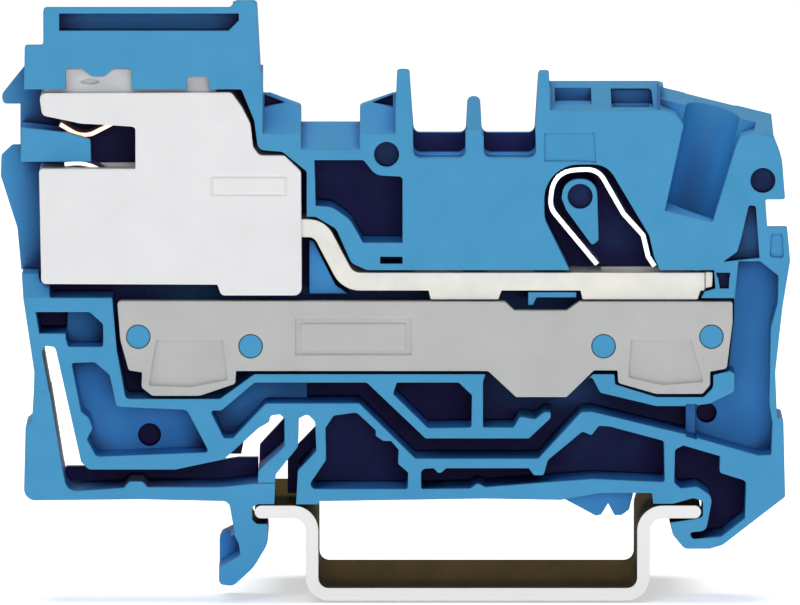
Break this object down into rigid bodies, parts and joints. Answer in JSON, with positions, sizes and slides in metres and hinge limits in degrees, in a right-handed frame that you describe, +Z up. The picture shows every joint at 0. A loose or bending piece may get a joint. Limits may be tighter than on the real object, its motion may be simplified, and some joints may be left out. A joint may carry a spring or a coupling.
{
  "type": "din rail terminal block",
  "caption": "Neutral-disconnect terminal block, open on one side, clipped to a short 35 mm top-hat rail, with a sliding disconnect and a push-in spring clamp.",
  "frame": {"origin": "middle of the rail's section at the height of its flange tops, halfway through the block's thickness", "axes": "+X across the rail towards the conductor, +Y along the rail away from the open side, +Z up from the rail"},
  "size_m": [0.0619, 0.0199, 0.0472],
  "materials": {
    "blue_plastic": "satin moulded polyamide",
    "white_plastic": "satin moulded polyamide",
    "grey_plastic": "fine matte moulded",
    "tinned_copper": "tin plated, satin",
    "copper": "bare copper alloy",
    "spring_steel": "polished spring steel",
    "galvanised_steel": "zinc plated"
  },
  "bodies": {
    "housing": {"housing": "blue_plastic", "cover_plate": "grey_plastic", "current_bar": "tinned_copper", "clamp_spring_loop": "spring_steel"},
    "disconnect_slide": {"slide_body": "white_plastic", "slide_contact_upper": "copper", "slide_contact_lower": "spring_steel"},
    "clamp_leg": {"clamp_spring_leg": "spring_steel"},
    "rail_latch": {"rail_latch": "blue_plastic", "latch_flex_beam": "blue_plastic"},
    "din_rail": {"din_rail": "galvanised_steel"}
  },
  "joints": [
    {"name": "disconnect_slide", "type": "slide", "parent": "housing", "child": "disconnect_slide", "axis": [-1, 0, 0], "range_m": [0, 0.0064]},
    {"name": "clamp_leg_flex", "type": "hinge", "parent": "housing", "child": "clamp_leg", "pos_m": [0.008, 0, 0.02405], "axis": [0, 1, 0], "range_deg": [0, 12], "stiffness_Nm_per_rad": 0.5},
    {"name": "rail_latch_release", "type": "slide", "parent": "housing", "child": "rail_latch", "axis": [-1, 0, 0], "range_m": [0, 0.0012], "stiffness_N_per_m": 8000},
    {"name": "rail_slide", "type": "slide", "parent": "housing", "child": "din_rail", "axis": [0, 1, 0], "range_m": [-0.012, 0]}
  ]
}
